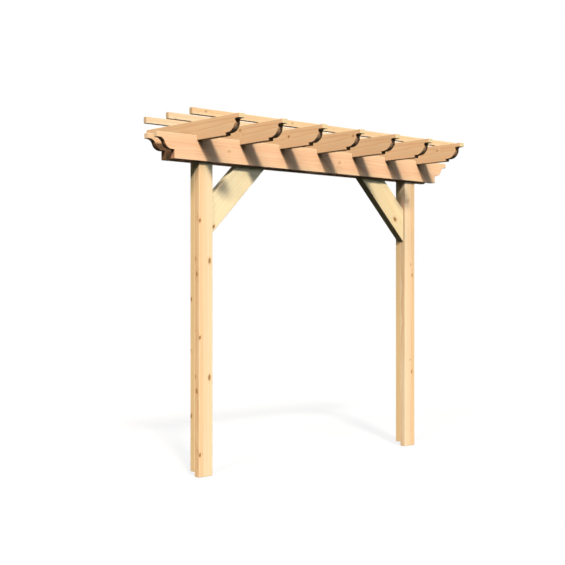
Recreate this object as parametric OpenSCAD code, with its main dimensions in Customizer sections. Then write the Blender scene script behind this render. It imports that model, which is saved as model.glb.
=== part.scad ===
// Garden pergola: a walk-through timber portal on two posts.
// Two beams sit in rebates at the post tops, seven rafters are notched over the
// beams, three battens lie on the rafters and two braces stiffen the corners.
// X runs along the beams, Y from front to rear, Z up. The origin is the middle
// of the foot of the left post's front board. All sizes are in millimetres.

/* [Posts] */
// Width of a post, measured along the beams
post_w = 110; // [80:1:160]
// Thickness of each of the two boards that make a post
board_t = 47; // [40:1:70]
// Clear way between the two posts
clear_way = 1850; // [1500:10:2600]
// Height of the beams' underside above the ground
beam_seat_z = 2030; // [1800:10:2500]
// Height of the rear board's foot above the ground
rear_foot_z = 30; // [10:1:120]

/* [Beams] */
// Thickness of a beam
beam_t = 42; // [30:1:60]
// Height of a beam
beam_h = 160; // [150:1:220]
// Gap between the two beams, filled at each post by its tenon
beam_gap = 62; // [50:1:76]
// Reach of a beam's nose beyond the post's outer face
beam_reach = 340; // [250:5:500]

/* [Beam ends] */
// Height of the straight nose
beam_nose_h = 34; // [15:1:45]
// Length of the nose's level underside
beam_lip = 15; // [5:1:30]
// Radius of the hollow behind the lip
beam_cove_r = 45; // [25:1:50]
// Height of the upright stretch between the hollow and the round
beam_riser = 2; // [1:0.5:10]
// Radius of the round
beam_ovolo_r = 60; // [40:1:70]
// Angle in degrees that the hollow and the round turn through
beam_sweep = 69; // [55:1:80]
// Length of the level stretch from the round to the step
beam_level = 17; // [10:1:40]

/* [Rafters] */
// Thickness of a rafter
rafter_t = 45; // [35:1:60]
// Height of a rafter
rafter_h = 126; // [122:1:170]
// Length of a rafter from front nose to rear nose
rafter_len = 1000; // [800:10:1400]
// Depth of the notches that seat a rafter on the beams
notch_depth = 30; // [15:1:40]
// Play of a notch at each side of its beam
notch_play = 0.5; // [0.2:0.1:1.5]
// Distance of the outer rafters' faces beyond the posts' outer faces
rafter_outset = 35; // [10:1:80]

/* [Rafter ends] */
// Height of the straight nose
rafter_nose_h = 30; // [15:1:34]
// Length of the nose's level underside
rafter_lip = 31; // [10:1:40]
// Radius of the hollow behind the lip
rafter_cove_r = 17; // [10:1:22]
// Height of the upright stretch between the hollow and the round
rafter_riser = 18; // [5:1:22]
// Radius of the round
rafter_ovolo_r = 73; // [60:1:78]
// Angle in degrees that the hollow and the round turn through
rafter_sweep = 72; // [60:1:77]
// Length of the level stretch from the round to the step
rafter_level = 21; // [10:1:40]

/* [Battens] */
// Depth of a batten, measured from front to rear
batten_d = 32; // [25:1:50]
// Height of a batten
batten_h = 42; // [30:1:60]
// Spacing of the battens along the rafters
batten_pitch = 250; // [180:5:300]
// Reach of a batten beyond the outer rafter's face
batten_reach = 180; // [100:5:300]

/* [Braces] */
// Width of a brace
brace_w = 173; // [120:1:210]
// Distance of a brace's lower edge from the corner, along post and beam
brace_leg = 465; // [350:5:600]
// Distance of a brace's level top below the rafters
brace_drop = 12; // [2:1:60]
// Play between a brace and the beam on each side of it
brace_play = 0.5; // [0.2:0.1:1.5]

/* [Hidden] */
$fn = 96;
rafter_count = 7;
cut_over = 1;

pitch = clear_way + post_w;
post_out = post_w / 2;
mid_y = board_t / 2;
beam_top_z = beam_seat_z + beam_h;
beam_len = pitch + post_w + 2 * beam_reach;
beam_x = -post_out - beam_reach;
rafter_z = beam_top_z - notch_depth;
rafter_top_z = rafter_z + rafter_h;
rafter_x = -post_out - rafter_outset;
rafter_span = pitch + post_w + 2 * rafter_outset - rafter_t;
rafter_pitch = rafter_span / (rafter_count - 1);
batten_x = rafter_x - batten_reach;
batten_len = rafter_span + rafter_t + 2 * batten_reach;
brace_t = beam_gap - 2 * brace_play;
brace_plumb = brace_w * sqrt(2);

beam_wood = [0.98, 0.80, 0.60];
post_wood = [0.98, 0.84, 0.62];
rafter_wood = [0.88, 0.72, 0.53];
batten_wood = [0.90, 0.77, 0.56];

// A length to the nearest hundredth of a millimetre, so that curves meet exactly
function hundredths(length) = round(length * 100) / 100;

// Outline that is cut from the lower corner of a board's end: the nose's underside
// starts at the origin, the board lies towards +x and its lower edge is at -drop.
// A cove and an ovolo of one sweep make an S with a short riser between them. The
// cove starts level at the lip, and the ovolo ends level.
module ogee_cut(drop, lip, cove_r, riser, ovolo_r, sweep, level) {
  cove_end = lip + hundredths(cove_r * sin(sweep));
  ovolo_end = cove_end + hundredths(ovolo_r * sin(sweep));
  ovolo_y = ovolo_r - riser - hundredths((cove_r + ovolo_r) * (1 - cos(sweep)));
  below = -drop - cut_over;
  translate([-cut_over, -cove_r]) square([lip + cut_over, cove_r]);
  translate([lip, -cove_r]) intersection() {
    circle(r = cove_r);
    square([cove_end - lip, cove_r + cut_over]);
  }
  translate([-cut_over, below]) square([cove_end + cut_over, cut_over - cove_r - below]);
  difference() {
    translate([cove_end, below]) square([ovolo_end - cove_end, ovolo_y - below]);
    translate([ovolo_end, ovolo_y]) circle(r = ovolo_r);
  }
  translate([ovolo_end, below]) square([level, ovolo_y - ovolo_r - below]);
}

// Side view of a board whose two ends are cut to the shape of its child, which is
// drawn from the nose's underside; the board's lower left corner is at the origin
module shaped_board(length, height, nose_h) {
  difference() {
    square([length, height]);
    for (flip = [0, 1])
      translate([flip * length, height - nose_h])
        mirror([flip, 0])
          children();
  }
}

// Stands a drawing of x and z upright and gives it a thickness towards +y
module upright_x(thickness) {
  translate([0, thickness, 0]) rotate([90, 0, 0]) linear_extrude(thickness) children();
}

// Stands a drawing of y and z upright and gives it a thickness towards +x
module upright_y(thickness) {
  rotate([90, 0, 90]) linear_extrude(thickness) children();
}

// One board of a post: side 1 is the rear board and side -1 the front board
module post_board(side, foot_z) {
  tenon_t = beam_gap / 2;
  upright_y(post_w) translate([mid_y, 0]) mirror([side < 0 ? 1 : 0, 0]) {
    translate([0, foot_z]) square([board_t, beam_seat_z - foot_z]);
    translate([0, foot_z]) square([tenon_t, rafter_z - foot_z]);
  }
}

module left_post_front_board() {
  color(post_wood) translate([-post_out, 0, 0]) post_board(-1, 0);
}

module left_post_rear_board() {
  color(post_wood) translate([-post_out, 0, 0]) post_board(1, rear_foot_z);
}

module right_post_front_board() {
  color(post_wood) translate([pitch - post_out, 0, 0]) post_board(-1, 0);
}

module right_post_rear_board() {
  color(post_wood) translate([pitch - post_out, 0, 0]) post_board(1, rear_foot_z);
}

module beam() {
  translate([beam_x, 0, beam_seat_z])
    upright_x(beam_t) shaped_board(beam_len, beam_h, beam_nose_h)
      ogee_cut(beam_h - beam_nose_h, beam_lip, beam_cove_r, beam_riser, beam_ovolo_r,
               beam_sweep, beam_level);
}

module front_beam() {
  color(beam_wood) translate([0, mid_y - beam_gap / 2 - beam_t, 0]) beam();
}

module rear_beam() {
  color(beam_wood) translate([0, mid_y + beam_gap / 2, 0]) beam();
}

// Brace at 45 degrees with a plumb cut on the post's face at x = 0 and a level top
module brace() {
  top = brace_leg + rafter_z - brace_drop - beam_seat_z;
  translate([0, mid_y - brace_t / 2, beam_seat_z - brace_leg])
    upright_x(brace_t)
      polygon([[0, 0], [top, top], [top - brace_plumb, top], [0, brace_plumb]]);
}

module left_brace() {
  color(beam_wood) translate([post_out, 0, 0]) brace();
}

module right_brace() {
  color(beam_wood) translate([pitch - post_out, 0, 0]) mirror([1, 0, 0]) brace();
}

// Side view of a rafter without its notches
module rafter_board() {
  shaped_board(rafter_len, rafter_h, rafter_nose_h)
    ogee_cut(rafter_h - rafter_nose_h, rafter_lip, rafter_cove_r, rafter_riser,
             rafter_ovolo_r, rafter_sweep, rafter_level);
}

// Rafter number n, counted from the left, with a notch over each beam
module rafter(n) {
  color(rafter_wood)
    translate([rafter_x + (n - 1) * rafter_pitch, mid_y, rafter_z])
      upright_y(rafter_t) difference() {
        translate([-rafter_len / 2, 0]) rafter_board();
        for (flip = [0, 1])
          mirror([flip, 0])
            translate([beam_gap / 2 - notch_play, -cut_over])
              square([beam_t + 2 * notch_play, notch_depth + cut_over]);
      }
}

// Batten whose middle lies at offset from the rafters' middle
module batten(offset) {
  color(batten_wood)
    translate([batten_x, mid_y + offset - batten_d / 2, rafter_top_z])
      cube([batten_len, batten_d, batten_h]);
}

module front_batten() { batten(-batten_pitch); }

module middle_batten() { batten(0); }

module rear_batten() { batten(batten_pitch); }

left_post_front_board();
left_post_rear_board();
right_post_front_board();
right_post_rear_board();
front_beam();
rear_beam();
left_brace();
right_brace();
rafter(1);  // rafter_1
rafter(2);  // rafter_2
rafter(3);  // rafter_3
rafter(4);  // rafter_4
rafter(5);  // rafter_5
rafter(6);  // rafter_6
rafter(7);  // rafter_7
front_batten();
middle_batten();
rear_batten();
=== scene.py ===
"""Garden pergola of planed softwood: finish of every timber, light, floor and camera.

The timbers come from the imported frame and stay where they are. This script eases their
arrises, gives each of them a wood of its own that is worked out through the whole solid,
with growth rings, knots and end grain, and sets up a plain studio around them.
All lengths are in metres, in the frame's own axes: X along the beams, Y from front to rear.
"""
import logging
import math
from dataclasses import dataclass, field, replace
from enum import Enum

import bpy
import numpy as np
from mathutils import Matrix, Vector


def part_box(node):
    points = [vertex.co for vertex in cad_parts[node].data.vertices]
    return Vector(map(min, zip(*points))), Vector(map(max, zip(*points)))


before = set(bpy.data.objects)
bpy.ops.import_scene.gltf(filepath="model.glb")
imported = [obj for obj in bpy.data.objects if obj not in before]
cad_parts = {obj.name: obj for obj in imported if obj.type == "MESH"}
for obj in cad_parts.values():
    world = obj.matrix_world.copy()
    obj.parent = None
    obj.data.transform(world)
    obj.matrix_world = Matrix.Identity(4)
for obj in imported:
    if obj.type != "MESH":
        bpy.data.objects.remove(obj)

Vec = tuple[float, float, float]
Colour = tuple[float, float, float]
Span = tuple[float, float]
Socket = bpy.types.NodeSocket

LOG = logging.getLogger("pergola")
WHITE = (1.0, 1.0, 1.0)

# The curve by which a screen shows colours
SCREEN_FOOT_END = 0.04045
SCREEN_FOOT_SLOPE = 12.92
SCREEN_LIFT = 0.055
SCREEN_POWER = 2.4


def srgb(red: int, green: int, blue: int) -> Colour:
    """Turns a colour as a screen shows it into the linear values that shaders take.

    Args:
        red: Red from 0 to 255.
        green: Green from 0 to 255.
        blue: Blue from 0 to 255.

    Returns:
        The three linear values, by the usual power curve with its straight foot.
    """
    shares = np.array([red, green, blue]) / 255.0
    foot = shares / SCREEN_FOOT_SLOPE
    curve = ((shares + SCREEN_LIFT) / (1.0 + SCREEN_LIFT)) ** SCREEN_POWER
    linear = np.where(shares <= SCREEN_FOOT_END, foot, curve)
    return tuple(float(value) for value in linear)


class Grain(Enum):
    """Direction of a timber's fibres, as the turn that lays the X axis along them."""

    ALONG_X = (0.0, 0.0, 0.0)
    ALONG_Y = (0.0, 0.0, math.pi / 2)
    ALONG_Z = (0.0, -math.pi / 2, 0.0)
    RISING = (0.0, -math.pi / 4, 0.0)
    FALLING = (0.0, math.pi / 4, 0.0)

    def matrix(self) -> np.ndarray:
        """Gives the turn as a matrix whose columns are the timber's own axes.

        Returns:
            The turn about Y, followed by the turn about Z.
        """
        _, about_y, about_z = self.value
        turn_y = np.array([
            [math.cos(about_y), 0.0, math.sin(about_y)],
            [0.0, 1.0, 0.0],
            [-math.sin(about_y), 0.0, math.cos(about_y)],
        ])
        turn_z = np.array([
            [math.cos(about_z), -math.sin(about_z), 0.0],
            [math.sin(about_z), math.cos(about_z), 0.0],
            [0.0, 0.0, 1.0],
        ])
        return turn_z @ turn_y


class Tree:
    """Short ways to add and link the nodes of one shader tree.

    Where a node has several sockets of one name, they go by number.
    """

    MIX_INPUTS = (0, 6, 7)
    MIX_RESULT = 2
    NOISE_MIDDLE = 0.5

    def __init__(self, tree: bpy.types.NodeTree) -> None:
        """Keeps the tree and empties it."""
        self.tree = tree
        self.tree.nodes.clear()

    def feed(self, socket: Socket, value: object) -> None:
        """Links a socket to another one, or sets its plain value.

        Args:
            socket: The input that is fed.
            value: An output socket, a number, a vector or a colour.
        """
        if isinstance(value, bpy.types.NodeSocket):
            self.tree.links.new(value, socket)
        elif socket.type == "RGBA":
            socket.default_value = (*value[:3], 1.0)
        else:
            socket.default_value = value

    def add(
        self, kind: str, inputs: dict[object, object] | None = None, **settings: object
    ) -> bpy.types.Node:
        """Adds one node.

        Args:
            kind: The node's type name, without its leading ShaderNode.
            inputs: What feeds its inputs, by their name or number.
            **settings: The node's own properties.

        Returns:
            The new node.
        """
        node = self.tree.nodes.new("ShaderNode" + kind)
        for name, value in settings.items():
            setattr(node, name, value)
        for key, value in (inputs or {}).items():
            self.feed(node.inputs[key], value)
        return node

    def math(self, operation: str, *values: object) -> Socket:
        """Works on numbers: returns the result of one Math node."""
        return self.add("Math", dict(enumerate(values)), operation=operation).outputs[0]

    def vector(self, operation: str, *values: object) -> Socket:
        """Works on vectors: returns the vector that one Vector Math node gives."""
        return self.add("VectorMath", dict(enumerate(values)), operation=operation).outputs[0]

    def length(self, vector: Socket) -> Socket:
        """Returns the length of a vector."""
        return self.add("VectorMath", {0: vector}, operation="LENGTH").outputs["Value"]

    def scale(self, vector: Socket, factor: Socket) -> Socket:
        """Returns a vector or colour times a factor."""
        return self.add("VectorMath", {0: vector, "Scale": factor}, operation="SCALE").outputs[0]

    def add_shares(self, start: float, parts: list[tuple[Socket, float]]) -> Socket:
        """Adds a share of each of several masks to a number.

        Args:
            start: The number that the sum starts from.
            parts: Each mask with its share.

        Returns:
            The sum.
        """
        total: object = start
        for mask, share in parts:
            total = self.math("MULTIPLY_ADD", mask, share, total)
        return total

    def ramp(self, value: Socket, span: Span, low: float = 0.0, high: float = 1.0) -> Socket:
        """Eases a number from low to high while the value goes through the span.

        Args:
            value: The number that drives the ramp.
            span: Its values where the ramp begins and ends.
            low: What comes out before the span.
            high: What comes out after it.

        Returns:
            The eased number, held at both ends.
        """
        inputs = dict(enumerate((value, *span, low, high)))
        return self.add("MapRange", inputs, interpolation_type="SMOOTHSTEP").outputs[0]

    def mix(self, share: object, first: object, second: object, blend: str = "MIX") -> Socket:
        """Blends two colours.

        Args:
            share: How much of the second colour is taken.
            first: The colour below.
            second: The colour on top.
            blend: The way in which the two are blended.

        Returns:
            The blended colour.
        """
        node = self.add("Mix", data_type="RGBA", blend_type=blend)
        for number, value in zip(self.MIX_INPUTS, (share, first, second)):
            self.feed(node.inputs[number], value)
        return node.outputs[self.MIX_RESULT]

    def noise(self, place: Socket, waves: Vec, detail: float = 2.0) -> Socket:
        """Makes soft noise that is drawn out along the fibres.

        Args:
            place: Place in the timber.
            waves: Number of waves to the metre along, across and through the timber.
            detail: Number of finer layers.

        Returns:
            The noise, from -0.5 to 0.5.
        """
        scaled = self.vector("MULTIPLY", place, waves)
        wave = self.add("TexNoise", {"Vector": scaled, "Scale": 1.0, "Detail": detail})
        return self.math("SUBTRACT", wave.outputs[0], self.NOISE_MIDDLE)


class Group(Tree):
    """A shader node group with named sockets, built once and used by many materials."""

    def __init__(self, name: str, inputs: dict[str, str], outputs: dict[str, str]) -> None:
        """Makes the group and its sockets.

        Args:
            name: The group's name.
            inputs: Kind of each input, by its name: Float, Vector or Color.
            outputs: Kind of each output, by its name.
        """
        super().__init__(bpy.data.node_groups.new(name, "ShaderNodeTree"))
        for direction, sockets in (("INPUT", inputs), ("OUTPUT", outputs)):
            for label, kind in sockets.items():
                socket_type = "NodeSocket" + kind
                self.tree.interface.new_socket(label, in_out=direction, socket_type=socket_type)
        self.inside = self.tree.nodes.new("NodeGroupInput").outputs
        self.result = self.tree.nodes.new("NodeGroupOutput").inputs

    def put(self, name: str, value: Socket) -> None:
        """Sends a socket out of the group under an output's name."""
        self.tree.links.new(value, self.result[name])

    def place(self, tree: Tree, inputs: dict[str, object]) -> bpy.types.bpy_prop_collection:
        """Places the group in a tree.

        Args:
            tree: The tree that uses the group.
            inputs: What feeds the group, by its inputs' names.

        Returns:
            The placed group's outputs.
        """
        node = tree.add("Group", node_tree=self.tree)
        for name, value in inputs.items():
            tree.feed(node.inputs[name], value)
        return node.outputs


class BranchGroup(Group):
    """Distance from a branch's middle line in branch radii, or what was nearer before.

    The distance is the length of the cross product of the branch's direction with the way
    from a point on its middle line to the place that is shaded. The strength of the nearest
    branch goes along with it.
    """

    def __init__(self) -> None:
        """Builds the group."""
        super().__init__(
            "branch_distance",
            {
                "Place": "Vector", "Heart": "Vector", "Run": "Vector", "Size": "Float",
                "Strength": "Float", "Nearest": "Float", "Nearest Strength": "Float",
            },
            {"Nearest": "Float", "Nearest Strength": "Float"},
        )
        inside = self.inside
        before = inside["Nearest Strength"]
        way = self.vector("SUBTRACT", inside["Place"], inside["Heart"])
        across = self.vector("CROSS_PRODUCT", way, inside["Run"])
        radii = self.math("DIVIDE", self.length(across), inside["Size"])
        closer = self.math("LESS_THAN", radii, inside["Nearest"])
        gain = self.math("SUBTRACT", inside["Strength"], before)
        self.put("Nearest", self.math("MINIMUM", radii, inside["Nearest"]))
        self.put("Nearest Strength", self.math("MULTIPLY_ADD", closer, gain, before))


class RingGroup(Group):
    """Growth rings around the pith, which wander along the trunk and swell round knots.

    The radius from the pith, plus noise that is long along the trunk, is counted in ring
    widths. Late wood is the dark end of each ring, and stops sharply.
    """

    ACROSS: Vec = (0.0, 1.0, 1.0)
    SLOW_WAVES: Vec = (1.1, 7.0, 7.0)
    QUICK_WAVES: Vec = (5.0, 40.0, 40.0)
    QUICK_STRAY = 0.004
    SWELL = 0.013
    SWELL_SPAN: Span = (0.4, 4.0)
    LATE_RISE: Span = (0.30, 0.90)
    LATE_DROP: Span = (0.93, 1.0)

    def __init__(self) -> None:
        """Builds the group."""
        super().__init__(
            "growth_rings",
            {
                "Timber": "Vector", "Pith": "Vector", "Ring": "Float", "Wander": "Float",
                "Knot": "Float",
            },
            {"Late": "Float", "Year": "Float", "Radius": "Float"},
        )
        timber = self.inside["Timber"]
        from_pith = self.vector("SUBTRACT", timber, self.inside["Pith"])
        radius = self.length(self.vector("MULTIPLY", from_pith, self.ACROSS))
        slow = self.math("MULTIPLY", self.noise(timber, self.SLOW_WAVES), self.inside["Wander"])
        quick = self.math("MULTIPLY", self.noise(timber, self.QUICK_WAVES), self.QUICK_STRAY)
        swell = self.ramp(self.inside["Knot"], self.SWELL_SPAN, self.SWELL, 0.0)
        wandered = self.math("ADD", radius, slow)
        bent = self.math("ADD", wandered, self.math("ADD", quick, swell))
        count = self.math("DIVIDE", bent, self.inside["Ring"])
        share = self.math("FRACT", count)
        rise = self.ramp(share, self.LATE_RISE)
        drop = self.ramp(share, self.LATE_DROP, 1.0, 0.0)
        number = self.math("FLOOR", count)
        year = self.add("TexWhiteNoise", {"W": number}, noise_dimensions="1D")
        self.put("Late", self.math("MULTIPLY", rise, drop))
        self.put("Year", year.outputs["Value"])
        self.put("Radius", bent)


class EdgeGroup(Group):
    """Wear along a timber's long edges, and its sawn tips.

    On the surface, the distances to the nearest two side planes add up to nothing only at
    an edge. A little noise breaks the worn line. A tip is what lies within a few
    millimetres of the timber's end.
    """

    WAVES: Vec = (9.0, 60.0, 60.0)
    WEAR_SPAN: Span = (0.15, 1.0)
    TIP_SPAN: Span = (0.0, 0.004)

    def __init__(self) -> None:
        """Builds the group."""
        super().__init__(
            "timber_edges",
            {"Timber": "Vector", "Half": "Vector", "Reach": "Float"},
            {"Wear": "Float", "Tip": "Float"},
        )
        timber = self.inside["Timber"]
        reach = self.inside["Reach"]
        depth = self.vector("SUBTRACT", self.inside["Half"], self.vector("ABSOLUTE", timber))
        parts = self.add("SeparateXYZ", {0: depth}).outputs
        both = self.math("ADD", parts["Y"], parts["Z"])
        uneven = self.math("MULTIPLY", self.noise(timber, self.WAVES), reach)
        share = self.math("DIVIDE", self.math("ADD", both, uneven), reach)
        self.put("Wear", self.ramp(share, self.WEAR_SPAN, 1.0, 0.0))
        self.put("Tip", self.ramp(parts["X"], self.TIP_SPAN, 1.0, 0.0))


class SurfaceGroup(Group):
    """Colour, roughness and height of planed softwood.

    Sapwood and heartwood are tinted by broad bands, darkened by late wood and fine fibres,
    stained round knots, lightened on worn edges and darkened where a curve is sawn across
    the fibres: partly the deeper tone of end grain, partly painted shade on the sawn
    curves and steps. Tips have the colour of a clean cut.
    """

    # Noise that the parts share
    BAND_WAVES: Vec = (0.55, 22.0, 22.0)
    STREAK_WAVES: Vec = (2.2, 95.0, 95.0)
    FIBRE_WAVES: Vec = (16.0, 800.0, 800.0)
    FINE_DETAIL = 3.0

    # Clear wood
    BORDER_STRAY = 0.05
    BORDER_SPAN: Span = (-0.012, 0.012)
    BAND_SPAN: Span = (-0.02, 0.16)
    BAND_SHARE = 0.85
    YEAR_LEAST = 0.55
    YEAR_SPREAD = 0.6
    MORE_ON_END = 0.35
    STREAK_SHADE = 0.22
    FIBRE_SHADE = 0.10

    # Knots, whose spans are in branch radii
    RAGGED = 0.9
    STAIN_SPAN: Span = (0.8, 2.4)
    STAIN_SHARE = 0.42
    CORE_SPAN: Span = (0.65, 1.15)
    EYE_RINGS = 4.5
    EYE_SHARE = 0.45
    BARK = srgb(124, 88, 46)
    BARK_SPAN: Span = (0.50, 0.95)
    BARK_SHARE = 0.40

    # Worn edges, sawn curves with end-grain tone and painted shade, and tips
    WORN = srgb(255, 236, 204)
    WORN_SHARE = 0.28
    # Darkening of sawn curves: the deeper tone of end grain, and painted shade on curves and steps
    END_GRAIN_AND_SHADE = srgb(166, 140, 132)
    END_GRAIN_AND_SHADE_SHARE = 0.6
    CUT_LINES = 0.8
    TIP_SHARE = 0.9

    # Roughness, and what each mask adds to it
    ROUGH = 0.62
    ROUGH_LINES = -0.12
    ROUGH_FIBRE = 0.25
    ROUGH_END = 0.18
    ROUGH_WEAR = -0.10
    ROUGH_KNOT = -0.14

    # What each mask adds to the height
    HIGH_FIBRE = 0.9
    HIGH_LATE = 0.5
    HIGH_STREAK = 0.5
    HIGH_KNOT = 0.7

    def __init__(self) -> None:
        """Builds the group: first what its parts share, then its three outputs."""
        super().__init__(
            "planed_softwood",
            {
                "Timber": "Vector", "Late": "Float", "Year": "Float", "Radius": "Float",
                "Knot": "Float", "Knot Strength": "Float", "Wear": "Float", "Tip": "Float",
                "End": "Float", "Sap": "Color", "Heart": "Color", "Band": "Color",
                "Grain": "Color", "Branch": "Color", "Cut": "Color", "Heart Radius": "Float",
                "Figure": "Float",
            },
            {"Color": "Color", "Roughness": "Float", "Height": "Float"},
        )
        timber = self.inside["Timber"]
        self.broad = self.noise(timber, self.BAND_WAVES)
        self.streak = self.noise(timber, self.STREAK_WAVES, self.FINE_DETAIL)
        self.fibre = self.noise(timber, self.FIBRE_WAVES, self.FINE_DETAIL)
        year = self.add_shares(self.YEAR_LEAST, [(self.inside["Year"], self.YEAR_SPREAD)])
        late = self.math("MULTIPLY", self.inside["Late"], year)
        self.lines = self.math("MULTIPLY", late, self.inside["Figure"])
        self.ragged = self.math("MULTIPLY_ADD", self.streak, self.RAGGED, self.inside["Knot"])
        self.core = self.by_strength(self.ramp(self.ragged, self.CORE_SPAN, 1.0, 0.0))
        self.put("Color", self.worked(self.knotted(self.clear())))
        self.put("Roughness", self.roughness())
        self.put("Height", self.height())

    def by_strength(self, mask: Socket) -> Socket:
        """Weakens a knot's mask to the strength of that knot."""
        return self.math("MULTIPLY", mask, self.inside["Knot Strength"])

    def clear(self) -> Socket:
        """Colours clear wood: heart, bands, growth rings and fibres.

        Returns:
            The colour.
        """
        inside = self.inside
        stray = self.math("MULTIPLY", self.broad, self.BORDER_STRAY)
        border = self.math("ADD", inside["Radius"], stray)
        to_heart = self.math("SUBTRACT", inside["Heart Radius"], border)
        colour = self.mix(self.ramp(to_heart, self.BORDER_SPAN), inside["Sap"], inside["Heart"])
        banded = self.ramp(self.broad, self.BAND_SPAN, 0.0, self.BAND_SHARE)
        colour = self.mix(banded, colour, inside["Band"])
        deep = self.add_shares(1.0, [(inside["End"], self.MORE_ON_END)])
        ringed = self.math("MULTIPLY", self.lines, deep)
        colour = self.mix(ringed, colour, inside["Grain"], "MULTIPLY")
        fine = [(self.streak, self.STREAK_SHADE), (self.fibre, self.FIBRE_SHADE)]
        return self.scale(colour, self.add_shares(1.0, fine))

    def knotted(self, colour: Socket) -> Socket:
        """Stains the wood round knots, and gives the branches rings and a line of bark.

        Args:
            colour: Colour of the clear wood.

        Returns:
            The colour with knots.
        """
        inside = self.inside
        stain = self.by_strength(self.ramp(self.ragged, self.STAIN_SPAN, self.STAIN_SHARE, 0.0))
        colour = self.mix(stain, colour, inside["Grain"], "MULTIPLY")
        eye = self.math("FRACT", self.math("MULTIPLY", inside["Knot"], self.EYE_RINGS))
        eye_share = self.math("MULTIPLY", eye, self.EYE_SHARE)
        branch = self.mix(eye_share, inside["Branch"], inside["Grain"], "MULTIPLY")
        colour = self.mix(self.core, colour, branch)
        bark = self.math("MULTIPLY", self.core, self.ramp(self.ragged, self.BARK_SPAN))
        return self.mix(self.math("MULTIPLY", bark, self.BARK_SHARE), colour, self.BARK)

    def worked(self, colour: Socket) -> Socket:
        """Lightens worn edges, darkens sawn curves with end-grain tone and painted shade,
        and gives the tips a clean cut.

        Args:
            colour: Colour of the wood with its knots.

        Returns:
            The colour of the finished timber.
        """
        inside = self.inside
        worn = self.math("MULTIPLY", inside["Wear"], self.WORN_SHARE)
        colour = self.mix(worn, colour, self.WORN)
        # Faces sawn across the fibres get the darker tone of end grain together with painted shade
        end_grain_and_shade = self.math("MULTIPLY", inside["End"], self.END_GRAIN_AND_SHADE_SHARE)
        colour = self.mix(end_grain_and_shade, colour, self.END_GRAIN_AND_SHADE, "MULTIPLY")
        lines = self.math("MULTIPLY", self.lines, self.CUT_LINES)
        clean = self.mix(lines, inside["Cut"], inside["Grain"], "MULTIPLY")
        tip = self.math("MULTIPLY", inside["Tip"], inside["End"])
        return self.mix(self.math("MULTIPLY", tip, self.TIP_SHARE), colour, clean)

    def roughness(self) -> Socket:
        """Makes late wood, worn edges and knots smoother, and sawn ends rougher.

        Returns:
            The roughness.
        """
        return self.add_shares(self.ROUGH, [
            (self.lines, self.ROUGH_LINES),
            (self.fibre, self.ROUGH_FIBRE),
            (self.inside["End"], self.ROUGH_END),
            (self.inside["Wear"], self.ROUGH_WEAR),
            (self.core, self.ROUGH_KNOT),
        ])

    def height(self) -> Socket:
        """Lets fibres, late wood, streaks and knots stand out a little.

        Returns:
            The height, which the bump takes.
        """
        return self.add_shares(0.0, [
            (self.fibre, self.HIGH_FIBRE),
            (self.inside["Late"], self.HIGH_LATE),
            (self.streak, self.HIGH_STREAK),
            (self.core, self.HIGH_KNOT),
        ])


@dataclass
class WoodGroups:
    """The node groups that all woods share."""

    branch: Group = field(default_factory=BranchGroup)
    rings: Group = field(default_factory=RingGroup)
    edges: Group = field(default_factory=EdgeGroup)
    surface: Group = field(default_factory=SurfaceGroup)


@dataclass(frozen=True)
class Knot:
    """One branch that grew through a timber.

    Attributes:
        heart: A point on the branch's middle line.
        run: Direction of the branch.
        size: Radius of the branch.
        strength: How clearly the knot stands out, up to 1.
    """

    heart: Vec
    run: Vec
    size: float
    strength: float = 0.8

    def unit_run(self) -> Vec:
        """Gives the branch's direction with a length of one."""
        run = np.array(self.run)
        return tuple(float(value) for value in run / np.linalg.norm(run))


@dataclass(frozen=True)
class Softwood:
    """Colours and figure of the wood of one kind of timber.

    Attributes:
        sap: Colour of the pale sapwood.
        heart: Colour of the redder heartwood.
        band: Colour of the broad bands along the timber.
        grain: Tint of late wood, as a share of the wood below it.
        branch: Colour of a knot.
        cut: Colour of sawn end grain.
        ring: Width of a growth ring.
        wander: How far the rings stray along the trunk.
        heart_radius: Radius of the heartwood round the pith.
        figure: Strength of the growth rings.
    """

    sap: Colour = srgb(252, 229, 184)
    heart: Colour = srgb(251, 214, 163)
    band: Colour = srgb(252, 221, 172)
    grain: Colour = srgb(232, 190, 146)
    branch: Colour = srgb(160, 114, 62)
    cut: Colour = srgb(238, 206, 158)
    ring: float = 0.0052
    wander: float = 0.020
    heart_radius: float = 0.075
    figure: float = 0.45

    def toned(self, share: float) -> "Softwood":
        """Gives the same wood a little darker.

        Args:
            share: Share of its light that is left.

        Returns:
            The toned wood.
        """
        colours = {
            name: tuple(share * value for value in getattr(self, name))
            for name in ("sap", "heart", "band")
        }
        return replace(self, **colours)


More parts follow.
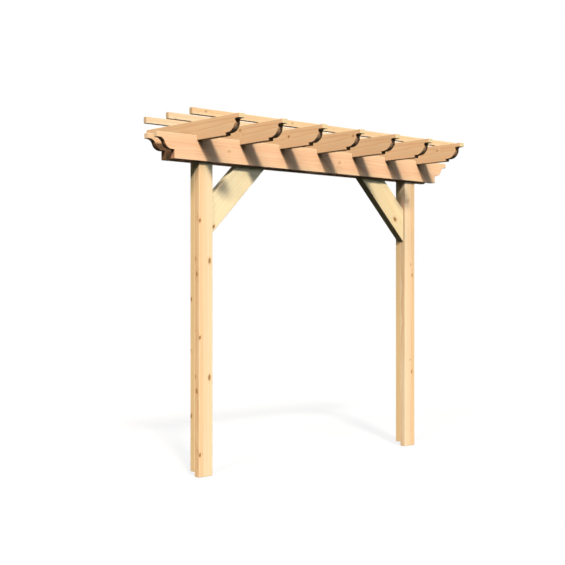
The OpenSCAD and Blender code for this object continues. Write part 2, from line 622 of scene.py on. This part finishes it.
class Timber:
    """One timber: its node in the frame, the direction of its fibres and its wood.

    The timbers throw little light on each other, so that shadows stay deep.
    """

    # Surface
    THROWN_BACK = (0.12, 0.08, 0.05)
    GLOSS = 0.02
    BUMP = 0.0007
    BUMP_STRENGTH = 0.35
    WEAR_REACH = 0.006
    END_SPAN: Span = (0.45, 0.9)
    FAR_FROM_KNOTS = 9.0

    # Eased edges
    EASED = 0.0025
    ROUND_STEPS = 3
    SAME_POINT = 1e-5
    FLAT = math.radians(0.2)
    SHARP = math.radians(40)

    # Strewn knots
    SEED_STEP = 7919
    STRETCH: Span = (0.15, 0.85)
    ASIDE = 0.75
    SLOPES: Span = (0.5, 1.1)
    LEAN = 0.5
    SIZES: Span = (0.005, 0.0095)
    STRENGTHS: Span = (0.25, 0.75)

    def __init__(
        self, node: str, grain: Grain, wood: Softwood, pith: tuple[float, float],
        knots: tuple[Knot, ...] = (), strewn: int = 0, shades: bool = True,
    ) -> None:
        """Keeps what the timber is, and measures it along its own axes.

        Args:
            node: Name of its node in the frame.
            grain: Direction of its fibres.
            wood: Its wood.
            pith: Place of the trunk's middle, across and through the timber, from its middle.
            knots: Knots at known places.
            strewn: Number of further knots, which the node's name spreads along it.
            shades: Whether the timber throws a shadow.
        """
        self.node = node
        self.grain = grain
        self.wood = wood
        self.pith = pith
        self.shades = shades
        self.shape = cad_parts[node]
        self.axes = grain.matrix()
        self.low, self.high = self.measure()
        self.knots = knots + self.strew(strewn)

    def measure(self) -> tuple[np.ndarray, np.ndarray]:
        """Measures the timber along its own axes.

        Returns:
            Its lowest and highest corner there.
        """
        mesh = self.shape.data
        points = np.empty(len(mesh.vertices) * 3)
        mesh.vertices.foreach_get("co", points)
        own = points.reshape(-1, 3) @ self.axes
        return own.min(axis=0), own.max(axis=0)

    def middle(self) -> np.ndarray:
        """Gives the timber's middle in the frame's axes."""
        return self.axes @ ((self.low + self.high) / 2)

    def half(self) -> np.ndarray:
        """Gives half the timber's length, width and depth."""
        return (self.high - self.low) / 2

    def strew(self, count: int) -> tuple[Knot, ...]:
        """Spreads knots along the timber, one to each equal stretch.

        Args:
            count: Number of knots.

        Returns:
            The knots, the same for the same node on every run.
        """
        chance = np.random.default_rng(sum(self.node.encode()) * self.SEED_STEP)
        stretch = np.arange(count) + chance.uniform(*self.STRETCH, count)
        along = stretch / max(count, 1) * 2 - 1
        across = chance.uniform(-self.ASIDE, self.ASIDE, (count, 2))
        slope = chance.uniform(*self.SLOPES, count)
        lean = chance.uniform(-self.LEAN, self.LEAN, count)
        sizes = chance.uniform(*self.SIZES, count)
        strengths = chance.uniform(*self.STRENGTHS, count)
        half = self.half()
        through = np.ones(count)
        thin_first = half[1] <= half[2]
        runs = np.column_stack((slope, through, lean) if thin_first else (slope, lean, through))
        hearts = self.middle() + np.column_stack((along, across)) * half @ self.axes.T
        return tuple(
            Knot(tuple(heart), tuple(run), float(size), float(strength))
            for heart, run, size, strength in zip(hearts, runs @ self.axes.T, sizes, strengths)
        )

    def ease(self) -> None:
        """Rounds the timber's edges: joins its triangles, clears flat seams, then bevels."""
        join = self.shape.modifiers.new("joined", "WELD")
        join.merge_threshold = self.SAME_POINT
        flat = self.shape.modifiers.new("flat", "DECIMATE")
        flat.decimate_type = "DISSOLVE"
        flat.angle_limit = self.FLAT
        edge = self.shape.modifiers.new("eased", "BEVEL")
        edge.width = self.EASED
        edge.segments = self.ROUND_STEPS
        edge.limit_method = "ANGLE"
        edge.angle_limit = self.SHARP
        edge.use_clamp_overlap = False

    def nearest_knot(
        self, tree: Tree, groups: WoodGroups, place: Socket
    ) -> tuple[object, object]:
        """Finds the nearest knot by asking each branch in turn.

        Args:
            tree: The tree of the timber's material.
            groups: The node groups of all woods.
            place: The place that is shaded.

        Returns:
            The distance from that knot in branch radii, and its strength.
        """
        nearest: object = self.FAR_FROM_KNOTS
        strength: object = 0.0
        for knot in self.knots:
            branch = groups.branch.place(tree, {
                "Place": place, "Heart": knot.heart, "Run": knot.unit_run(), "Size": knot.size,
                "Strength": knot.strength, "Nearest": nearest, "Nearest Strength": strength,
            })
            nearest = branch["Nearest"]
            strength = branch["Nearest Strength"]
        return nearest, strength

    def across_fibres(self, tree: Tree, normal: Socket) -> Socket:
        """Masks the faces that are sawn across the fibres.

        Args:
            tree: The tree of the timber's material.
            normal: Direction in which the surface faces.

        Returns:
            The mask, from the size of the normal's share along the fibres.
        """
        inputs = {0: normal, 1: tuple(self.axes[:, 0])}
        facing = tree.add("VectorMath", inputs, operation="DOT_PRODUCT").outputs["Value"]
        return tree.ramp(tree.math("ABSOLUTE", facing), self.END_SPAN)

    def finish(self, groups: WoodGroups) -> bpy.types.Material:
        """Makes the timber's own material.

        Args:
            groups: The node groups of all woods.

        Returns:
            The material.
        """
        wood = self.wood
        material = bpy.data.materials.new(self.node + "_wood")
        material.use_nodes = True
        tree = Tree(material.node_tree)
        seen = tree.add("TexCoord").outputs
        place = seen["Object"]
        own = tree.add(
            "Mapping",
            {"Vector": place, "Location": tuple(self.middle()), "Rotation": self.grain.value},
            vector_type="TEXTURE",
        ).outputs[0]
        nearest, strength = self.nearest_knot(tree, groups, place)
        rings = groups.rings.place(tree, {
            "Timber": own, "Pith": (0.0, *self.pith), "Ring": wood.ring, "Wander": wood.wander,
            "Knot": nearest,
        })
        edges = groups.edges.place(tree, {
            "Timber": own, "Half": tuple(self.half()), "Reach": self.WEAR_REACH,
        })
        surface = groups.surface.place(tree, {
            "Timber": own, "Late": rings["Late"], "Year": rings["Year"],
            "Radius": rings["Radius"], "Knot": nearest, "Knot Strength": strength,
            "Wear": edges["Wear"], "Tip": edges["Tip"],
            "End": self.across_fibres(tree, seen["Normal"]),
            "Sap": wood.sap, "Heart": wood.heart, "Band": wood.band, "Grain": wood.grain,
            "Branch": wood.branch, "Cut": wood.cut, "Heart Radius": wood.heart_radius,
            "Figure": wood.figure,
        })
        bump = tree.add("Bump", {
            "Height": surface["Height"], "Strength": self.BUMP_STRENGTH, "Distance": self.BUMP,
        })
        scattered = tree.add("LightPath").outputs["Is Diffuse Ray"]
        shader = tree.add("BsdfPrincipled", {
            "Base Color": tree.mix(scattered, surface["Color"], self.THROWN_BACK),
            "Roughness": surface["Roughness"], "Normal": bump.outputs[0],
            "Specular IOR Level": self.GLOSS,
        })
        tree.add("OutputMaterial", {0: shader.outputs[0]})
        return material

    def dress(self, groups: WoodGroups) -> None:
        """Eases the edges and puts the timber's wood on it.

        Args:
            groups: The node groups of all woods.
        """
        self.ease()
        material = self.finish(groups)
        for slot in self.shape.material_slots:
            slot.material = material
        self.shape.visible_shadow = self.shades
        LOG.info("%s: %d knots", self.node, len(self.knots))


@dataclass
class Posts:
    """The two posts, each made of a front and a rear board.

    Attributes:
        wood: Wood of the left front board.
        right_wood: Wood of the right front board.
        rear_wood: Wood of both rear boards.
        left_pith: Place of the trunk's middle in the left front board.
        right_pith: The same in the right front board.
        rear_pith: The same in the rear boards.
        left_rear_strewn: Number of strewn knots in the left rear board.
        right_rear_strewn: Number of strewn knots in the right rear board.
    """

    wood: Softwood = Softwood()
    right_wood: Softwood = Softwood(
        sap=srgb(252, 226, 184), heart=srgb(245, 209, 159), band=srgb(252, 218, 172),
        heart_radius=0.105,
    )
    rear_wood: Softwood = Softwood(
        sap=srgb(253, 223, 168), heart=srgb(252, 213, 158), band=srgb(253, 218, 163),
    )
    left_pith: tuple[float, float] = (-0.012, 0.098)
    right_pith: tuple[float, float] = (-0.012, -0.105)
    rear_pith: tuple[float, float] = (0.120, 0.030)
    left_rear_strewn: int = 4
    right_rear_strewn: int = 6

    def timbers(self) -> list[Timber]:
        """Gives the four boards.

        Returns:
            The boards, with known knots on the faces that show and strewn ones elsewhere.
        """
        side, face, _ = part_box("left_post_front_board")[0]
        left_front = (
            Knot((side, 0.001, 1.307), (1.0, 0.1, 1.5), 0.009, 0.65),
            Knot((side, 0.001, 0.553), (1.0, 0.1, 1.5), 0.009, 0.65),
            Knot((side, 0.016, 1.405), (1.0, 0.1, 1.3), 0.009, 0.40),
            Knot((side, 0.016, 0.648), (1.0, 0.1, 1.3), 0.009, 0.40),
            Knot((-0.048, face, 1.651), (0.2, 1.0, 1.6), 0.007, 1.0),
            Knot((-0.048, face, 0.898), (0.2, 1.0, 1.6), 0.007, 1.0),
            Knot((-0.048, face, 0.144), (0.2, 1.0, 1.6), 0.007, 1.0),
            Knot((0.029, face, 1.393), (0.1, 1.0, 1.5), 0.010),
            Knot((0.029, face, 0.638), (0.1, 1.0, 1.5), 0.010),
        )
        right_front = (
            Knot((1.970, face, 1.390), (0.1, 1.0, 1.4), 0.006, 0.5),
            Knot((1.986, face, 1.309), (0.1, 1.0, 1.5), 0.007, 0.7),
            Knot((1.967, face, 0.660), (0.1, 1.0, 1.4), 0.006, 0.5),
            Knot((1.983, face, 0.567), (0.1, 1.0, 1.5), 0.007, 0.7),
            Knot((1.940, face, 1.877), (0.4, 1.0, 1.0), 0.012, 0.2),
        )
        left_rear = (
            Knot((side, 0.061, 1.144), (1.0, -0.2, 1.4), 0.008, 0.68),
            Knot((side, 0.061, 0.389), (1.0, -0.2, 1.4), 0.009, 0.68),
        )
        grain = Grain.ALONG_Z
        return [
            Timber("left_post_front_board", grain, self.wood, self.left_pith, left_front),
            Timber(
                "left_post_rear_board", grain, self.rear_wood, self.rear_pith, left_rear,
                self.left_rear_strewn,
            ),
            Timber("right_post_front_board", grain, self.right_wood, self.right_pith, right_front),
            Timber(
                "right_post_rear_board", grain, self.rear_wood, self.rear_pith,
                strewn=self.right_rear_strewn,
            ),
        ]


@dataclass
class Beams:
    """The pair of beams with ogee ends.

    Attributes:
        wood: Wood of both beams.
        pith: Place of the trunk's middle in each.
        rear_strewn: Number of strewn knots in the rear beam.
    """

    wood: Softwood = Softwood(
        sap=srgb(252, 212, 166), heart=srgb(250, 200, 155), band=srgb(252, 206, 162),
        cut=srgb(254, 226, 182), heart_radius=0.112, figure=0.36,
    )
    pith: tuple[float, float] = (0.085, -0.002)
    rear_strewn: int = 6

    def timbers(self) -> list[Timber]:
        """Gives the two beams.

        Returns:
            The front beam with known knots, and the rear one with strewn ones.
        """
        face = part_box("front_beam")[0][1]
        front = (
            Knot((0.171, face, 2.110), (0.8, 1.0, 0.1), 0.010, 0.35),
            Knot((1.181, face, 2.113), (0.8, 1.0, 0.1), 0.010, 0.35),
        )
        grain = Grain.ALONG_X
        return [
            Timber("front_beam", grain, self.wood, self.pith, front),
            Timber("rear_beam", grain, self.wood, self.pith, strewn=self.rear_strewn),
        ]


@dataclass
class Braces:
    """The two corner braces.

    Attributes:
        wood: Wood of the left brace.
        right_wood: Wood of the right brace.
        pith: Place of the trunk's middle in each.
    """

    wood: Softwood = Softwood(
        sap=srgb(254, 234, 186), heart=srgb(254, 228, 175), band=srgb(254, 231, 181), figure=0.2,
    )
    right_wood: Softwood = Softwood(
        sap=srgb(254, 229, 176), heart=srgb(253, 222, 166), band=srgb(254, 226, 171), figure=0.2,
    )
    pith: tuple[float, float] = (0.110, 0.020)

    def timbers(self) -> list[Timber]:
        """Gives the two braces.

        Returns:
            The braces, each with the knot that shows on its front.
        """
        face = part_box("left_brace")[0][1]
        left = (Knot((0.074, face, 1.616), (0.7, 1.0, 1.1), 0.009, 0.9),)
        right = (Knot((1.811, face, 1.733), (-0.7, 1.0, 0.7), 0.013, 0.85),)
        return [
            Timber("left_brace", Grain.RISING, self.wood, self.pith, left),
            Timber("right_brace", Grain.FALLING, self.right_wood, self.pith, right),
        ]


@dataclass
class Rafters:
    """The seven rafters that are notched over the beams.

    Attributes:
        wood: The wood of all of them.
        pith: Place of the trunk's middle in each.
        tones: Share of the wood's light, rafter by rafter.
        strewn: Number of strewn knots, rafter by rafter.
        known: Knots that show on left faces, by the rafter's number. Their place along the
            beams comes from the rafter.
    """

    wood: Softwood = Softwood(
        sap=srgb(253, 213, 164), heart=srgb(252, 203, 154), band=srgb(252, 208, 159),
        cut=srgb(241, 221, 170), figure=0.32,
    )
    pith: tuple[float, float] = (-0.080, 0.015)
    tones: tuple[float, ...] = (1.0, 0.98, 0.98, 0.94, 0.92, 0.98, 0.98)
    strewn: tuple[int, ...] = (0, 0, 1, 1, 1, 1, 1)
    known: dict[int, Knot] = field(default_factory=lambda: {
        2: Knot((0.0, -0.053, 2.254), (1.0, 0.8, 0.1), 0.011, 0.45),
        3: Knot((0.0, -0.143, 2.237), (1.0, 0.8, 0.1), 0.008, 0.9),
        4: Knot((0.0, -0.406, 2.246), (1.0, 0.8, 0.1), 0.008, 0.6),
        5: Knot((0.0, -0.021, 2.261), (1.0, 0.8, 0.1), 0.008, 0.4),
        7: Knot((0.0, -0.259, 2.246), (1.0, 0.8, 0.1), 0.008, 0.4),
    })

    def timbers(self) -> list[Timber]:
        """Gives the rafters.

        Returns:
            The rafters from left to right.
        """
        rafters = []
        for number, (tone, strewn) in enumerate(zip(self.tones, self.strewn), 1):
            node = f"rafter_{number}"
            knots = ()
            if number in self.known:
                knot = self.known[number]
                knots = (replace(knot, heart=(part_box(node)[0][0], *knot.heart[1:])),)
            wood = self.wood.toned(tone)
            rafters.append(Timber(node, Grain.ALONG_Y, wood, self.pith, knots, strewn))
        return rafters


@dataclass
class Battens:
    """The three battens on top of the rafters, which throw no shadow.

    Attributes:
        wood: Wood of the front batten.
        pale_wood: Wood of the other two.
        pith: Place of the trunk's middle in each.
        front_knots: Places of the front batten's knots along it.
        strewn: Number of strewn knots in each of the other two.
    """

    wood: Softwood = Softwood(
        sap=srgb(247, 219, 171), heart=srgb(246, 208, 158), band=srgb(247, 213, 164),
        cut=srgb(222, 193, 148), figure=0.38,
    )
    pale_wood: Softwood = Softwood(
        sap=srgb(246, 226, 186), heart=srgb(246, 216, 173), band=srgb(246, 221, 180),
        cut=srgb(228, 201, 160), figure=0.34,
    )
    pith: tuple[float, float] = (0.050, 0.030)
    front_knots: tuple[float, ...] = (-0.166, 0.406, 0.553)
    strewn: int = 5

    def timbers(self) -> list[Timber]:
        """Gives the battens.

        Returns:
            The front batten with known knots, and the other two with strewn ones.
        """
        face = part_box("front_batten")[0][1]
        knots = tuple(
            Knot((along, face, 2.310), (0.8, 1.0, 0.2), 0.008, 0.4) for along in self.front_knots
        )
        grain = Grain.ALONG_X
        front = Timber("front_batten", grain, self.wood, self.pith, knots, shades=False)
        others = [
            Timber(node, grain, self.pale_wood, self.pith, strewn=self.strewn, shades=False)
            for node in ("middle_batten", "rear_batten")
        ]
        return [front, *others]


@dataclass(frozen=True)
class Lamp:
    """One far lamp.

    Attributes:
        name: Its name.
        path: Direction in which its light travels.
        strength: Its light on a white surface that faces it, for each colour.
        angle: Its width in degrees as seen from the object, which softens its shadows.
    """

    name: str
    path: Vec
    strength: Colour
    angle: float

    def hang(self) -> None:
        """Hangs the lamp. At an energy of pi, a white surface that faces it shows its strength."""
        light = bpy.data.lights.new(self.name, "SUN")
        light.energy = math.pi
        light.color = self.strength
        light.angle = math.radians(self.angle)
        holder = bpy.data.objects.new(self.name, light)
        along_x, along_y, along_z = self.path
        tilt = math.atan2(math.hypot(along_x, along_y), -along_z)
        turn = math.atan2(-along_x, along_y)
        holder.rotation_euler = (tilt, 0.0, turn)
        bpy.context.scene.collection.objects.link(holder)


@dataclass
class Studio:
    """Floor, light and camera.

    Attributes:
        floor_reach: Half the side of the floor.
        floor_shade: Grey of the floor's matt part, which takes the shadow.
        floor_glow: Share of the floor that shows plain white.
        floor_thrown_back: Grey of the floor for light that it scatters.
        lamps: The main lamp from the front left, and weaker ones from the left, front and rear.
        sky: Light from all round, for each colour.
        eye: Place of the camera.
        heading: Turn of the camera from straight ahead towards +X.
        lens: Focal length in millimetres.
        film: Width of the film in millimetres.
    """

    floor_reach: float = 60.0
    floor_shade: float = 0.9
    floor_glow: float = 0.8
    floor_thrown_back: float = 0.005
    lamps: tuple[Lamp, ...] = (
        Lamp("main_light", (0.377, 0.678, -0.631), (1.06, 0.99, 0.905), 7.0),
        Lamp("left_light", (0.66, 0.32, -0.68), (0.47, 0.38, 0.35), 14.0),
        Lamp("front_light", (0.12, 0.84, -0.52), (0.19, 0.22, 0.30), 30.0),
        Lamp("rear_light", (-0.62, -0.77, -0.16), (0.98, 0.89, 0.79), 30.0),
    )
    sky: Colour = (0.10, 0.14, 0.135)
    eye: Vec = (-4.1142, -5.4425, 1.2524)
    heading: float = math.radians(41.37)
    lens: float = 67.05
    film: float = 36.0

    def build(self) -> None:
        """Sets up the whole studio."""
        self.lay_floor()
        self.light()
        self.aim()

    @staticmethod
    def shown_directly(tree: Tree) -> Socket:
        """Tells rays from the camera, or by way of gloss and glass, from scattered light.

        Args:
            tree: The tree of the floor or the sky.

        Returns:
            One for a ray that shows the surface, and nothing for scattered light.
        """
        path = tree.add("LightPath").outputs
        mirrored = tree.math("MAXIMUM", path["Is Glossy Ray"], path["Is Transmission Ray"])
        return tree.math("MAXIMUM", path["Is Camera Ray"], mirrored)

    def lay_floor(self) -> None:
        """Lays a pale floor that keeps the shadow and throws little light back up."""
        reach = self.floor_reach
        mesh = bpy.data.meshes.new("floor")
        corners = [(x * reach, y * reach, 0.0) for x, y in ((-1, -1), (1, -1), (1, 1), (-1, 1))]
        mesh.from_pydata(corners, [], [(0, 1, 2, 3)])
        floor = bpy.data.objects.new("floor", mesh)
        bpy.context.scene.collection.objects.link(floor)
        material = bpy.data.materials.new("pale_floor")
        material.use_nodes = True
        tree = Tree(material.node_tree)
        matt = tree.add("BsdfDiffuse", {"Color": (self.floor_shade,) * 3}).outputs[0]
        glow = tree.add("Emission", {"Color": WHITE, "Strength": 1.0}).outputs[0]
        pale = tree.add("MixShader", {0: self.floor_glow, 1: matt, 2: glow}).outputs[0]
        dull = tree.add("BsdfDiffuse", {"Color": (self.floor_thrown_back,) * 3}).outputs[0]
        shown = tree.add("MixShader", {0: self.shown_directly(tree), 1: dull, 2: pale}).outputs[0]
        tree.add("OutputMaterial", {0: shown})
        mesh.materials.append(material)

    def light(self) -> None:
        """Hangs the lamps and sets an even sky behind them, which shows as white."""
        for lamp in self.lamps:
            lamp.hang()
        world = bpy.data.worlds.new("studio")
        world.use_nodes = True
        tree = Tree(world.node_tree)
        even = tree.add("Background", {"Color": self.sky, "Strength": 1.0}).outputs[0]
        white = tree.add("Background", {"Color": WHITE, "Strength": 1.0}).outputs[0]
        seen = tree.add("MixShader", {0: self.shown_directly(tree), 1: even, 2: white}).outputs[0]
        tree.add("OutputWorld", {0: seen})
        bpy.context.scene.world = world

    def aim(self) -> None:
        """Places the level camera."""
        camera = bpy.data.cameras.new("camera")
        camera.sensor_width = self.film
        camera.lens = self.lens
        camera.clip_end = 2 * self.floor_reach
        holder = bpy.data.objects.new("camera", camera)
        holder.location = self.eye
        holder.rotation_euler = (math.pi / 2, 0.0, -self.heading)
        bpy.context.scene.collection.objects.link(holder)
        bpy.context.scene.camera = holder


def main() -> None:
    """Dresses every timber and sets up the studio."""
    logging.basicConfig(level=logging.INFO, format="%(name)s: %(message)s")
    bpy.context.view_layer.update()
    bpy.context.scene.view_settings.view_transform = "Standard"
    groups = WoodGroups()
    for assembly in (Posts(), Beams(), Braces(), Rafters(), Battens()):
        for timber in assembly.timbers():
            timber.dress(groups)
    Studio().build()


if __name__ == "__main__":
    main()
